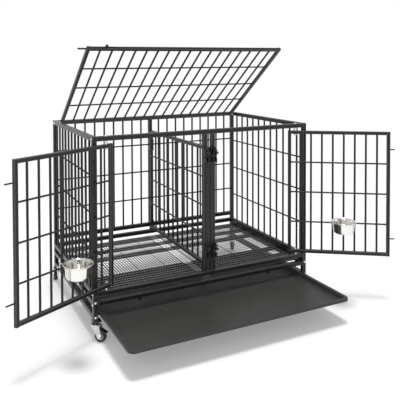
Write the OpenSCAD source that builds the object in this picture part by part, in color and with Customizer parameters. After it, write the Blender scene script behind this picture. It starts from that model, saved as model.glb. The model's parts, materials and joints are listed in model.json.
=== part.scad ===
// Two-compartment wheeled dog crate: square-tube frames filled with welded wire, two front doors,
// a top lid, a lift-out divider, two bowls in hangers, a pull-out tray and four swivel casters.
// Frame: origin on the floor under the middle of the crate, +X to its right, +Y to its rear, +Z up.
// The doors, the lid, the tray and the latches are drawn open.

/* [Crate] */
// Outer width over the side panels
crate_width = 1080; // [900:10:1300]
// Outer depth from the front rails to the rear panel
crate_depth = 710; // [640:10:900]
// Height of the top rails above the floor
crate_height = 842; // [760:2:1000]
// Side of the square frame tube
tube = 20; // [18:1:24]
// Side of the lighter square tube of the doors, the lid and the divider
light_tube = 16; // [14:1:17]
// Wall of the square tubes
tube_wall = 1.5; // [1.2:0.1:2]
// Flat that stands for a tube's rounded edge
tube_edge = 2; // [1:0.5:3]

/* [Rail heights] */
// Underside of the legs, on the caster plates
leg_foot = 79; // [74:1:86]
// Middle of the lower side rails, which carry the tray runners
lower_rail_z = 97; // [97:1:110]
// Middle of the base rails, whose tops are level with the cross bars that carry the floor
base_rail_z = 153; // [145:1:158]
// Side of the cross bars under the floor
bar_tube = 15; // [13:0.5:18]
// Middle of the sill rails under the doors and the side wires
sill_rail_z = 192; // [186:1:200]
// Middle of the rear panel's own bottom rail
rear_rail_z = 232; // [224:1:250]

/* [Wires] */
// Diameter of the upright wires
upright_wire = 9.5; // [6:0.5:10]
// Diameter of the cross wires
cross_wire = 7.5; // [4:0.5:8]
// Upright wires in a side panel
side_wires = 11; // [6:1:14]
// Upright wires in each half of the rear panel
rear_wires = 9; // [6:1:12]
// Upright wires in a door
door_wires = 8; // [5:1:10]
// Front to back wires in the lid
lid_wires = 17; // [10:1:22]
// Upright wires in the divider
divider_wires = 11; // [6:1:14]
// Cross wires in each panel
cross_wires = 3; // [2:1:5]

/* [Floor] */
// Pitch of the fine floor wires
floor_pitch = 13.1; // [12:0.1:30]
// Diameter of the fine floor wires
floor_wire = 3.4; // [2.6:0.2:4]
// Diameter of the rods and of the strong wires
floor_rod = 5; // [4:0.5:6]
// One floor wire in this many is a strong one
strong_every = 10; // [4:1:12]
// Distance of the inner cross bars from the middle of the crate
inner_bar = 122; // [70:1:160]
// Distance of the outer cross bars from the middle of the crate
outer_bar = 222; // [190:1:270]
// Space between a floor grid and the rails round it
floor_margin = 4; // [2:0.5:10]
// Half of the strip that is left free under the divider
floor_strip = 22; // [14:1:40]

/* [Doors] */
// Gap at each side of a closed door
door_side_gap = 5; // [4:0.5:8]
// Gap above a door, filled by the upper spacer
door_top_gap = 14; // [8:0.5:18]
// Gap below a door, filled by the lower spacer
door_bottom_gap = 9; // [3:0.5:12]
// Distance from the hinge end of a door to its pivot
pivot_inset = 35; // [32:0.5:38]
// Opening angle of the left door as drawn
left_door_open = 154; // [0:1:154]
// Opening angle of the right door as drawn
right_door_open = 146; // [0:1:154]
// Gap between the two centre posts
post_gap = 20; // [18:1:26]
// Diameter of the door and lid pivot bolts
pivot_bolt = 8; // [6:0.5:9]

/* [Lid] */
// Gap between the lid and the side rails
lid_side_gap = 10; // [6:1:16]
// Distance from the lid's pivot to the rear face of the crate
lid_pivot_back = 38; // [36:1:60]
// Distance from the lid's pivot to its free edge
lid_reach = 626; // [480:1:632]
// Opening angle of the lid as drawn
lid_open = 37; // [0:1:115]
// Diameter of the lid's slide bolt
lid_bolt_d = 8; // [6:0.5:9]
// Length of slide bolt that stands out of the lid
lid_bolt_out = 39; // [32:1:45]

/* [Divider] */
// Distance from the divider's top to the top of the crate
divider_drop = 80; // [78:1:200]

/* [Latches] */
// Distance of the upper strike pins from the top of the crate
upper_strike_drop = 121; // [104:1:240]
// Height of the lower strike pins
lower_strike_z = 290; // [270:1:400]
// Diameter of a strike pin
strike_d = 6; // [5:0.5:6.5]
// Length of strike pin beyond the door
strike_out = 25; // [22:0.5:33]
// How far a pawl is lifted as drawn
pawl_lift = 72; // [0:1:75]

/* [Bowls] */
// Rim diameter of a bowl
bowl_d = 116; // [112:1:130]
// Height of a bowl
bowl_h = 54; // [40:1:70]
// Thickness of a bowl's sheet
bowl_wall = 1.2; // [1:0.1:2]
// Width of a bowl's lip
bowl_lip = 7; // [4:0.5:9]
// Share of a bowl's top radius that its foot has
bowl_foot = 0.92; // [0.75:0.01:0.95]
// Door wire, counted from the hinge end, after which a bowl hangs
bowl_at = 4; // [2:1:5]
// Height of a bowl's ring above the cross wire that carries it
bowl_rise = 24; // [10:1:40]
// Space between the door's tube and a bowl's rim
bowl_off = 12; // [6:1:40]
// Diameter of a hanger's wire
hanger_wire = 4; // [3:0.5:5]

/* [Tray] */
// Gap between the tray and each lower side rail
tray_side_gap = 8; // [6:1:12]
// Front to back length of the tray
tray_length = 700; // [560:1:705]
// Height of the tray's rolled lip
tray_lip_h = 12; // [9:1:14]
// Width of the tray's flange
tray_flange = 14; // [13:1:18]
// Thickness of the tray's sheet
tray_wall = 3; // [2:0.5:3.5]
// Depth of the pan below the flange
tray_depth = 22; // [18:1:24]
// Corner radius of the tray
tray_corner = 28; // [24:1:60]
// How far the tray is pulled out as drawn
tray_out = 343; // [0:1:560]
// How far the tray's clips are turned aside as drawn
clip_turned = 60; // [0:1:90]

/* [Casters] */
// Diameter of a wheel
wheel_d = 50; // [44:1:52]
// Width of a wheel
wheel_w = 18; // [14:1:20]
// Distance from a caster's swivel axis to its axle
trail = 26; // [24:1:32]
// Diameter of the kingpin
kingpin_d = 10; // [8:0.5:12]
// Diameter of the axle
axle_d = 8; // [6:0.5:10]
// Turn of the front left caster as drawn
front_left_turn = 40; // [0:1:90]
// Turn of the rear right caster as drawn
rear_right_turn = 143; // [90:1:270]

/* [Fits] */
// Radial clearance of a turning or sliding fit
run_fit = 0.05; // [0.02:0.01:0.1]
// Gap between pieces that only rest on each other
seat_gap = 0.3; // [0.2:0.05:0.5]
// Radial clearance of a bolt in its hole
hole_fit = 0.2; // [0.1:0.05:0.4]
// Depth to which a wire or a rail runs into the wall that it is welded to
weld = 0.9; // [0.5:0.1:1.1]

/* [Hidden] */
$fn = 32;
powder = "#2b2c2c";
zinc = "#b9bcbd";
steel = "#d5d3cc";
pan_grey = "#4a4b49";
rubber = "#1c1c1c";

half_w = crate_width / 2;
half_d = crate_depth / 2;
in_x = half_w - tube;
in_y = half_d - tube;
mid_x = half_w - tube / 2;
mid_y = half_d - tube / 2;
top_z = crate_height - tube / 2;
under_top = crate_height - tube;
sill_top = sill_rail_z + tube / 2;
sill_lo = sill_rail_z - tube / 2;
base_top = base_rail_z + tube / 2;
bar_mid = base_top - bar_tube / 2;
cap = 3;
plug = 22;
far = 2 * (crate_width + crate_depth);

bolt_r = 3;
bolt_head_r = 6;
bolt_head_h = 3.5;
bolt_grip = tube + plug - 4;
bolt_step = 5;

bars = [-outer_bar, -inner_bar, inner_bar, outer_bar];
strip_t = 3;

door_w = in_x - post_gap / 2 - tube - 2 * door_side_gap;
door_lo = sill_top + door_bottom_gap;
door_hi = under_top - door_top_gap;
door_free = door_w - pivot_inset;
pivot_x = in_x - door_side_gap - pivot_inset;
pivot_r = pivot_bolt / 2;
spacer_r = pivot_r + 4;
nut_r = pivot_r + 3;
nut_h = 6;
door_pitch = (door_w - light_tube) / (door_wires + 1);

lid_half = in_x - lid_side_gap;
lid_pivot_y = half_d - lid_pivot_back;
lid_bolt_r = lid_bolt_d / 2;
lid_bolt_in = 100;
lid_bolt_at = lid_reach - light_tube / 2;
lid_bolt_travel = lid_bolt_out + 2;
stem_r = 2.5;
stem_x = 12;
knob_r = 7;

strike_r = strike_d / 2;
upper_strike_z = crate_height - upper_strike_drop;
strike_gap = 1.1;
housing_web = 2;
housing_cheek = 3;
housing_depth = 18;
housing_below = 26;
housing_above = 32;
strike_y = -half_d - housing_web - strike_gap - strike_r;
strike_v = -mid_y - strike_y;
pawl_rise = 22;
pawl_pin_r = 2;
pawl_hub_r = 5.5;
pawl_play = 1;
pawl_w = tube - 2 * housing_cheek - 2 * pawl_play;
pawl_y = -half_d - 11;
pawl_back = pawl_y - (strike_y - strike_r) + 0.6;
pawl_arm = 6.5;
pawl_tab = 22;

bowl_u = light_tube / 2 - pivot_inset + (bowl_at + 0.8) * door_pitch;
bowl_v = light_tube / 2 + bowl_off + bowl_d / 2;
bowl_top_r = bowl_d / 2 - bowl_lip;
bowl_foot_r = bowl_top_r * bowl_foot;
bowl_round = 9;
hanger_r = hanger_wire / 2;
ring_r = bowl_top_r + hanger_r + 2 * seat_gap;
hang_z = spaced(door_lo + light_tube / 2, door_hi - light_tube / 2, cross_wires, 1);
hook_z = hang_z + cross_wire / 2 + hanger_r + seat_gap;
ring_z = hang_z + bowl_rise;
hook_half = 0.6 * door_pitch;
arm_wire = hanger_wire * 0.85;
cross_v = cross_wire * 0.55;
upright_v = -upright_wire * 0.28;
hook_v = cross_v - cross_wire / 2 - hanger_r - seat_gap;
rise_v = light_tube / 2 + hanger_r;
hook_drop = 34;
bowl_foot_z = ring_z + hanger_r + seat_gap + bowl_wall - bowl_h;

runner_t = 3;
runner_reach = 21;
runner_leg = 14;
runner_top = lower_rail_z + 4;
tray_half = in_x - tray_side_gap;
tray_lip_lo = runner_top + seat_gap;
tray_top = tray_lip_lo + tray_lip_h;
tray_floor = tray_top - tray_depth;
tray_draft = 5;
tray_front = -half_d - 2 - tray_out;
tray_mid = tray_front + tray_length / 2;
clip_x = 295;
clip_t = 3;
clip_w = 12;
clip_tip = tray_top - 8;
clip_pin_r = 2.5;
clip_head = 3;
clip_y = -in_y + seat_gap;

divider_front = -mid_y - light_tube / 2;
guide_web = 2;
guide_play = 0.4;
guide_depth = 18;
divider_rear = in_y - guide_web - guide_play;
divider_lo = sill_top + seat_gap;
divider_hi = crate_height - divider_drop;
divider_foot = 14;

wheel_r = wheel_d / 2;
hub_r = wheel_r - 8;
plate_t = 3;
plate_side = 36;
race_h = 6;
race_r = 14;
crown_r = 17;
crown_h = 10;
crown_top = leg_foot - plate_t - race_h - seat_gap;
crown_lo = crown_top - crown_h;
kingpin_r = kingpin_d / 2;
axle_r = axle_d / 2;
cheek_t = 2.5;
cheek_in = wheel_w / 2 + 2;
cheek_out = cheek_in + cheek_t;
brake_pin_r = 2;
brake_y = -trail + 5;
brake_z = crown_lo - 3.5;
brake_t = 3;
brake_l = 38;
brake_reach = norm([brake_y + trail, brake_z - wheel_r]);
brake_turn = atan2(wheel_r - brake_z, -trail - brake_y)
    - asin((wheel_r + 0.5 + brake_t / 2) / brake_reach);

// Place of number i of n wires that divide a to b evenly
function spaced(a, b, n, i) = a + (b - a) * i / (n + 1);
// Outline of a rectangle with round corners, w by d, radius r
function round_rect(w, d, r, steps = 6) = [
    for (c = [0:3], s = [0:steps])
        let (a = 90 * c + 90 * s / steps,
             cx = (c == 0 || c == 3) ? w / 2 - r : r - w / 2,
             cy = c < 2 ? d / 2 - r : r - d / 2)
        [cx + r * cos(a), cy + r * sin(a)]];
// Depth and height of the bolts that enter the rails through the side panels, the legs and the base
// side rails
function panel_bolts() = [[-mid_y, top_z], [-mid_y, sill_rail_z],
    [mid_y, top_z], [mid_y, rear_rail_z], [mid_y, sill_rail_z]];
function leg_bolts() = [[-mid_y, base_rail_z - bolt_step], [mid_y, base_rail_z - bolt_step]];
function bar_bolts() = [for (y = bars) [y, bar_mid]];
// Height of the bolts that enter the side rails' ends through the legs
function end_bolts() = [base_rail_z + bolt_step, lower_rail_z];

// Section of a square tube with flats for its rounded edges
module section(size) {
    h = size / 2;
    k = h - tube_edge;
    polygon([[h, -k], [h, k], [k, h], [-k, h], [-h, k], [-h, -k], [-k, -h], [k, -h]]);
}
// Square tube along Z from a to b, closed at both ends to the depth end
module bar_z(a, b, size = tube, end = cap) {
    difference() {
        translate([0, 0, a]) linear_extrude(b - a) section(size);
        translate([0, 0, a + end]) linear_extrude(b - a - 2 * end)
            square(size - 2 * tube_wall, center = true);
    }
}
module bar_x(a, b, size = tube, end = cap) { rotate([0, 90, 0]) bar_z(a, b, size, end); }
module bar_y(a, b, size = tube, end = cap) { rotate([-90, 0, 0]) bar_z(a, b, size, end); }
module wire_z(a, b, d) { translate([0, 0, a]) cylinder(h = b - a, d = d); }
module wire_x(a, b, d) { rotate([0, 90, 0]) wire_z(a, b, d); }
module wire_y(a, b, d) { rotate([-90, 0, 0]) wire_z(a, b, d); }

// The wires of a panel in the XZ plane whose clear opening is x0 to x1 and z0 to z1 in tubes of a
// size: n uprights in front and the cross wires behind them, welded where they cross, all spaced
// evenly between the tubes' middles
module panel_wires(x0, x1, z0, z1, n, size, end = weld) {
    h = size / 2;
    for (i = [1:n])
        translate([spaced(x0 - h, x1 + h, n, i), upright_v, 0]) wire_z(z0 - weld, z1 + weld, upright_wire);
    for (i = [1:cross_wires])
        translate([0, cross_v, spaced(z0 - h, z1 + h, cross_wires, i)])
            wire_x(x0 - weld, x1 + end, cross_wire);
}
// Panel of tube and wire in the XZ plane from x0 to x1 and z0 to z1
module wire_panel(x0, x1, z0, z1, n, size) {
    for (x = [x0 + size / 2, x1 - size / 2]) translate([x, 0, 0]) bar_z(z0, z1, size);
    for (z = [z0 + size / 2, z1 - size / 2])
        translate([0, 0, z]) bar_x(x0 + size - weld, x1 - size + weld, size);
    panel_wires(x0 + size, x1 - size, z0 + size, z1 - size, n, size);
}
// Dome-headed bolt along -Z whose head stands on z = 0
module dome_bolt(r, head_r, head_h, length) {
    translate([0, 0, -length]) cylinder(h = length, r = r);
    rotate_extrude()
        polygon(concat([[0, 0]], [for (a = [0:15:90]) [head_r * cos(a), head_h * sin(a)]]));
}
// Children at each bolt of a list [depth, height], pointing outward on both sides of the crate
module at_sides(list) {
    for (s = [-1, 1], p = list) translate([s * half_w, p[0], p[1]]) rotate([0, s * 90, 0]) children();
}
// Children at each bolt into the side rails' ends, pointing out of the front and the rear
module at_ends() {
    for (s = [-1, 1], t = [-1, 1], z = end_bolts())
        translate([s * mid_x, t * half_d, z]) rotate([-t * 90, 0, 0]) children();
}
module bolt_hole() { translate([0, 0, -3 * tube]) cylinder(h = 4 * tube, r = bolt_r + hole_fit); }
module frame_bolt() { dome_bolt(bolt_r, bolt_head_r, bolt_head_h, bolt_grip); }

module side_panel(s) {
    color(powder) difference() {
        translate([s * mid_x, 0, 0]) rotate([0, 0, s * 90])
            wire_panel(-half_d, half_d, sill_lo, crate_height, side_wires, tube);
        at_sides(panel_bolts()) bolt_hole();
        translate([0, lid_pivot_y, top_z]) wire_x(-half_w - tube, half_w + tube, pivot_bolt + 2 * hole_fit);
        translate([0, lid_pivot_y - lid_bolt_at, top_z]) wire_x(-half_w - tube, 0, lid_bolt_d + 2);
    }
}
module left_side_panel() { side_panel(-1); }
module right_side_panel() { side_panel(1); }
module rear_panel() {
    lo = rear_rail_z + tube / 2;
    color(powder) difference() {
        translate([0, mid_y, 0]) rotate([0, 0, 180]) {
            for (z = [top_z, rear_rail_z]) translate([0, 0, z]) bar_x(-in_x, in_x, tube, plug);
            bar_z(lo - weld, under_top + weld);
            for (m = [0, 1]) mirror([m, 0, 0])
                panel_wires(tube / 2, in_x, lo, under_top, rear_wires, tube, -seat_gap);
        }
        at_sides(panel_bolts()) bolt_hole();
    }
}
// Rail between the two sides at depth y and height z, with closed ends bored for its bolts
module cross_rail(y, z, bolts) {
    difference() {
        translate([0, y, z]) bar_x(-in_x, in_x, tube, plug);
        at_sides(bolts) bolt_hole();
    }
}
module door_pivot_holes() {
    for (s = [-1, 1]) translate([s * pivot_x, -mid_y, 0]) cylinder(h = far, r = pivot_r + hole_fit);
}
module front_top_rail() {
    color(powder) difference() {
        cross_rail(-mid_y, top_z, panel_bolts());
        door_pivot_holes();
    }
}
module front_sill_rail() {
    color(powder) difference() {
        cross_rail(-mid_y, sill_rail_z, panel_bolts());
        door_pivot_holes();
    }
}
module rear_sill_rail() { color(powder) cross_rail(mid_y, sill_rail_z, panel_bolts()); }
module base_rear_rail() { color(powder) cross_rail(mid_y, base_rail_z, leg_bolts()); }
// Rail with two studs behind it that the tray's clips turn on
module base_front_rail() {
    color(powder) {
        cross_rail(-mid_y, base_rail_z, leg_bolts());
        for (s = [-1, 1]) translate([s * clip_x, 0, base_rail_z]) {
            wire_y(-in_y - weld, clip_y + clip_t + seat_gap + clip_head, 2 * clip_pin_r);
            translate([0, clip_y + clip_t + seat_gap, 0]) wire_y(0, clip_head, 2 * bolt_head_r);
        }
    }
}
module centre_posts() {
    color(powder) for (s = [-1, 1])
        translate([s * (post_gap + tube) / 2, -mid_y, 0]) bar_z(sill_top, under_top);
}
module legs() {
    color(powder) for (s = [-1, 1], t = [-1, 1]) difference() {
        translate([s * mid_x, t * mid_y, 0]) bar_z(leg_foot, sill_lo);
        at_sides(leg_bolts()) bolt_hole();
        at_ends() bolt_hole();
    }
}
// Rails with a strip welded on top that closes the gap under the side panels
module base_side_rails() {
    color(powder) for (m = [0, 1]) mirror([m, 0, 0]) difference() {
        union() {
            translate([mid_x, 0, base_rail_z]) bar_y(-in_y, in_y, tube, plug);
            translate([in_x + tube_edge, -in_y, base_top - weld])
                cube([strip_t, 2 * in_y, sill_lo - seat_gap - base_top + weld]);
        }
        at_sides(bar_bolts()) bolt_hole();
        at_ends() bolt_hole();
    }
}
module lower_side_rails() {
    color(powder) for (s = [-1, 1]) difference() {
        translate([s * mid_x, 0, lower_rail_z]) bar_y(-in_y, in_y, tube, plug);
        at_ends() bolt_hole();
    }
}
// Angle on the inner face of each lower side rail: the ledge and the leg under it
module tray_runners() {
    color(powder) for (m = [0, 1]) mirror([m, 0, 0]) translate([in_x, 0, 0]) {
        translate([-runner_t, -in_y, runner_top - runner_leg]) cube([runner_t, 2 * in_y, runner_leg]);
        translate([-runner_reach, -in_y, runner_top - runner_t]) cube([runner_reach, 2 * in_y, runner_t]);
    }
}
module cross_bars() {
    color(powder) for (y = bars) difference() {
        translate([0, y, bar_mid]) bar_x(-in_x, in_x, bar_tube, plug);
        at_sides(bar_bolts()) bolt_hole();
    }
}
// Floor grid between the middle strip and the right side: rods over the cross bars and at both ends,
// fine wires along them and a strong wire now and then
module floor_grid() {
    x0 = floor_strip;
    x1 = in_x - floor_margin;
    y1 = in_y - floor_margin;
    n = floor((x1 - x0 - floor_rod) / floor_pitch);
    rod_z = base_top + hole_fit + floor_rod / 2;
    for (y = concat([-y1 + floor_rod, y1 - floor_rod], bars))
        translate([0, y, rod_z]) wire_x(x0, x1, floor_rod);
    for (i = [0:n]) {
        d = (n - i) % strong_every == 0 || i == 0 ? floor_rod : floor_wire;
        translate([x0 + (x1 - x0 - n * floor_pitch) / 2 + i * floor_pitch, 0,
            rod_z + (floor_rod + d) / 2 - 0.6]) wire_y(-y1, y1, d);
    }
}
module left_floor_grid() { color(powder) mirror([1, 0, 0]) floor_grid(); }
module right_floor_grid() { color(powder) floor_grid(); }
// Two channels on the rear panel's centre post; the lower one has a foot under the divider
module divider_guides() {
    w = light_tube / 2 + guide_play;
    color(powder) for (z = [sill_top, divider_hi - 110]) difference() {
        translate([-w - guide_web, in_y - guide_depth, z - (z == sill_top ? guide_web : 0)])
            cube([2 * (w + guide_web), guide_depth, 60]);
        translate([-w, in_y - guide_depth - 1, z - (z == sill_top ? 0 : 1)])
            cube([2 * w, guide_depth + 1 - guide_web, 62]);
    }
}
module frame_bolts() {
    color(zinc) {
        at_sides(concat(panel_bolts(), leg_bolts(), bar_bolts())) frame_bolt();
        at_ends() frame_bolt();
    }
}
// Bolt of a door pivot along -Z from its seat at z = 0, with a nut under the door rail at depth
module pivot_bolt_nut(depth) {
    dome_bolt(pivot_r, pivot_r + 4, 4, depth + nut_h + 2);
    translate([0, 0, -depth - nut_h]) cylinder(h = nut_h, r = nut_r, $fn = 6);
}
module door_pivot_bolts() {
    color(zinc) for (s = [-1, 1]) translate([s * pivot_x, -mid_y, 0]) {
        translate([0, 0, crate_height]) pivot_bolt_nut(tube + door_top_gap + light_tube + seat_gap);
        translate([0, 0, sill_lo]) mirror([0, 0, 1])
            pivot_bolt_nut(tube + door_bottom_gap + light_tube + seat_gap);
    }
}
module lid_pivot_bolts() {
    color(zinc) at_sides([[lid_pivot_y, top_z]])
        dome_bolt(pivot_r, pivot_r + 4, 4, tube + lid_side_gap + light_tube + 10);
}
module spacer(h) {
    difference() {
        cylinder(h = h, r = spacer_r);
        translate([0, 0, -1]) cylinder(h = h + 2, r = pivot_r + hole_fit);
    }
}
module pivot_spacers() {
    color(zinc) {
        for (s = [-1, 1]) translate([s * pivot_x, -mid_y, 0]) {
            translate([0, 0, door_hi + seat_gap]) spacer(door_top_gap - seat_gap);
            translate([0, 0, sill_top]) spacer(door_bottom_gap - seat_gap);
        }
        for (m = [0, 1]) mirror([m, 0, 0]) translate([lid_half + seat_gap, lid_pivot_y, top_z])
            rotate([0, 90, 0]) spacer(lid_side_gap - seat_gap);
    }
}
// Channel on the front of a centre post with a slot for the strike pin and the pawl's rivet
module latch_housing(z) {
    translate([0, -half_d, z]) {
        difference() {
            translate([-tube / 2, -housing_depth, -housing_below])
                cube([tube, housing_depth, housing_below + housing_above]);
            translate([housing_cheek - tube / 2, -housing_depth - 1, -housing_below - 1])
                cube([tube - 2 * housing_cheek, housing_depth + 1 - housing_web,
                    housing_below + housing_above + 2]);
            translate([-tube, -housing_depth - 1, -strike_r - 1])
                cube([2 * tube, housing_depth + 1 - housing_web, strike_d + 2]);
        }
        translate([0, pawl_y + half_d, pawl_rise]) wire_x(-tube / 2 + 1, tube / 2 - 1, 2 * pawl_pin_r);
    }
}
module at_latch(s) { translate([s * (post_gap + tube) / 2, 0, 0]) children(); }
module latch_housings() {
    color(rubber) for (s = [-1, 1], z = [lower_strike_z, upper_strike_z]) at_latch(s) latch_housing(z);
}
// Pawl on its rivet: hub, arm that bars the slot's mouth and thumb tab, lifted by pawl_lift
module pawl(s, z) {
    color(rubber) at_latch(s) translate([-pawl_w / 2, pawl_y, z + pawl_rise]) rotate([-pawl_lift, 0, 0])
        difference() {
            union() {
                wire_x(0, pawl_w, 2 * pawl_hub_r);
                translate([0, pawl_back - 1.2 - pawl_arm, -pawl_rise - strike_r - 2])
                    cube([pawl_w, pawl_arm, pawl_rise + strike_r + 2]);
                translate([0, -pawl_tab, -2]) cube([pawl_w, pawl_tab, 5]);
            }
            wire_x(-1, pawl_w + 1, 2 * (pawl_pin_r + run_fit));
        }
}
module upper_left_pawl() { pawl(-1, upper_strike_z); }
module lower_left_pawl() { pawl(-1, lower_strike_z); }
module upper_right_pawl() { pawl(1, upper_strike_z); }
module lower_right_pawl() { pawl(1, lower_strike_z); }

// Children drawn on a door, with its pivot as the origin, +X along it and +Y to its inner side
module on_left_door() {
    translate([-pivot_x, -mid_y, 0]) rotate([0, 0, -left_door_open]) children();
}
module on_right_door() {
    mirror([1, 0, 0]) translate([-pivot_x, -mid_y, 0]) rotate([0, 0, -right_door_open]) children();
}
module door_frame() {
    color(powder) difference() {
        wire_panel(-pivot_inset, door_free, door_lo, door_hi, door_wires, light_tube);
        wire_z(0, far, 2 * (pivot_r + run_fit));
    }
}
// Two bent pins on the outer face of the free stile
module strike_pins() {
    u = door_free - light_tube / 2;
    color(powder) for (z = [lower_strike_z, upper_strike_z]) translate([u, 0, z]) {
        wire_y(-strike_v, -light_tube / 2, strike_d);
        translate([0, -strike_v, 0]) sphere(d = strike_d);
        translate([0, -strike_v, 0]) wire_x(0, light_tube / 2 + strike_out, strike_d);
    }
}
// Wire ring under the bowl's lip with two arms that hook over the door's lowest cross wire
module bowl_hanger() {
    color(steel) translate([bowl_u, 0, 0]) {
        translate([0, bowl_v, ring_z]) rotate_extrude() translate([ring_r, 0]) circle(r = hanger_r);
        for (m = [0, 1]) mirror([m, 0, 0]) translate([hook_half, 0, 0]) {
            translate([0, 0, ring_z])
                wire_y(rise_v, bowl_v - sqrt(pow(ring_r, 2) - pow(hook_half, 2)), arm_wire);
            translate([0, rise_v, 0]) wire_z(hook_z, ring_z, hanger_wire);
            translate([0, 0, hook_z]) wire_y(hook_v, rise_v, hanger_wire);
            translate([0, hook_v, hook_z]) wire_z(-hook_drop, 0, hanger_wire);
            for (p = [[rise_v, ring_z], [rise_v, hook_z], [hook_v, hook_z]])
                translate([0, p[0], p[1]]) sphere(d = hanger_wire);
        }
    }
}
// Section of a bowl from the axis outward: flat foot, rounded corner and a side that leans out
module bowl_half(t) {
    polygon(concat([[0, t], [bowl_foot_r - bowl_round, t]],
        [for (a = [-75:15:0]) [bowl_foot_r - bowl_round + (bowl_round - t) * cos(a),
            bowl_round + (bowl_round - t) * sin(a)]],
        [[bowl_top_r - t, bowl_h + (t > 0 ? 1 : 0)], [0, bowl_h + (t > 0 ? 1 : 0)]]));
}
module bowl() {
    color(steel) translate([bowl_u, bowl_v, bowl_foot_z]) difference() {
        union() {
            rotate_extrude() bowl_half(0);
            translate([0, 0, bowl_h - bowl_wall]) cylinder(h = bowl_wall, r = bowl_d / 2);
        }
        rotate_extrude() bowl_half(bowl_wall);
    }
}
module left_door_frame() { on_left_door() door_frame(); }
module left_strike_pins() { on_left_door() strike_pins(); }
module left_bowl_hanger() { on_left_door() bowl_hanger(); }
module left_bowl() { on_left_door() bowl(); }
module right_door_frame() { on_right_door() door_frame(); }
module right_strike_pins() { on_right_door() strike_pins(); }
module right_bowl_hanger() { on_right_door() bowl_hanger(); }
module right_bowl() { on_right_door() bowl(); }

// Children drawn on the lid, with its pivot axis as the X axis and +Z toward its free edge
module on_lid() {
    translate([0, lid_pivot_y, top_z]) rotate([90 - lid_open, 0, 0]) children();
}
module lid_frame() {
    color(powder) on_lid() difference() {
        wire_panel(-lid_half, lid_half, -light_tube / 2, lid_reach, lid_wires, light_tube);
        for (s = [-1, 1]) translate([s * lid_half, 0, 0])
            wire_x(-2 * light_tube, 2 * light_tube, 2 * (pivot_r + run_fit));
        translate([-lid_half, 0, lid_bolt_at])
            wire_x(-light_tube, 2 * light_tube, 2 * (lid_bolt_r + run_fit));
        translate([lid_bolt_in - lid_half - stem_x - stem_r - 1, -stem_r - 0.7, lid_bolt_at])
            cube([lid_bolt_travel + 2 * stem_r + 2, 2 * stem_r + 1.4, light_tube]);
    }
}
// Slide bolt inside the lid's free rail, with a knob that reaches out through the rail's slot
module lid_bolt() {
    color(zinc) on_lid() translate([-lid_half, 0, lid_bolt_at]) {
        wire_x(-lid_bolt_out, lid_bolt_in, lid_bolt_d);
        translate([lid_bolt_in - stem_x, 0, 0]) {
            wire_z(0, light_tube / 2 + 10, 2 * stem_r);
            translate([0, 0, light_tube / 2 + 12]) sphere(r = knob_r);
        }
    }
}
// Divider in the middle of the crate: stiles that stand on the sill and in the rear guide
module divider() {
    y0 = divider_front + light_tube;
    y1 = divider_rear - light_tube;
    z0 = divider_lo + divider_foot + light_tube;
    z1 = divider_hi - light_tube;
    color(powder) rotate([0, 0, 90]) {
        for (y = [y0 - light_tube / 2, y1 + light_tube / 2])
            translate([y, 0, 0]) bar_z(divider_lo, divider_hi, light_tube);
        for (z = [z0 - light_tube / 2, z1 + light_tube / 2])
            translate([0, 0, z]) bar_x(y0 - weld, y1 + weld, light_tube);
        panel_wires(y0, y1, z0, z1, divider_wires, light_tube);
    }
}
// Pan with a draft, a flange round its rim and a lip turned down
module tray() {
    w = 2 * tray_half;
    pan_w = w - 2 * tray_flange;
    pan_l = tray_length - 2 * tray_flange;
    r = tray_corner - tray_flange;
    color(pan_grey) translate([0, tray_mid, 0]) difference() {
        union() {
            translate([0, 0, tray_floor]) pan_body(pan_w, pan_l, r, tray_depth);
            difference() {
                translate([0, 0, tray_lip_lo]) linear_extrude(tray_lip_h)
                    polygon(round_rect(w, tray_length, tray_corner));
                translate([0, 0, tray_lip_lo - 1]) linear_extrude(tray_lip_h + 1 - tray_wall)
                    polygon(round_rect(w - 2 * tray_wall, tray_length - 2 * tray_wall,
                        tray_corner - tray_wall));
            }
        }
        translate([0, 0, tray_floor + tray_wall])
            pan_body(pan_w - 2 * tray_wall, pan_l - 2 * tray_wall, r - tray_wall, tray_depth);
    }
}
// Pan outline that widens upward by tray_draft on each side over the height h
module pan_body(w, l, r, h) {
    a = w - 2 * tray_draft;
    b = l - 2 * tray_draft;
    linear_extrude(h, scale = [w / a, l / b]) polygon(round_rect(a, b, r));
}
// Strip behind the base front rail that stops the tray where it hangs down, turned aside
module tray_clip(s) {
    color(powder) translate([s * clip_x, clip_y, base_rail_z]) rotate([0, -s * clip_turned, 0]) difference() {
        union() {
            wire_y(0, clip_t, clip_w);
            translate([-clip_w / 2, 0, clip_tip - base_rail_z])
                cube([clip_w, clip_t, base_rail_z - clip_tip]);
        }
        wire_y(-1, clip_t + 1, 2 * (clip_pin_r + run_fit));
    }
}
module left_tray_clip() { tray_clip(-1); }
module right_tray_clip() { tray_clip(1); }

// Children drawn at a caster's swivel axis on the floor, with the wheel trailing to -Y
module at_caster(s, t, turn) {
    translate([s * mid_x, t * mid_y, 0]) rotate([0, 0, turn]) children();
}
module at_front_left() { at_caster(-1, -1, front_left_turn) children(); }
module at_front_right() { at_caster(1, -1, 0) children(); }
module at_rear_left() { at_caster(-1, 1, 180) children(); }
module at_rear_right() { at_caster(1, 1, rear_right_turn) children(); }
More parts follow.
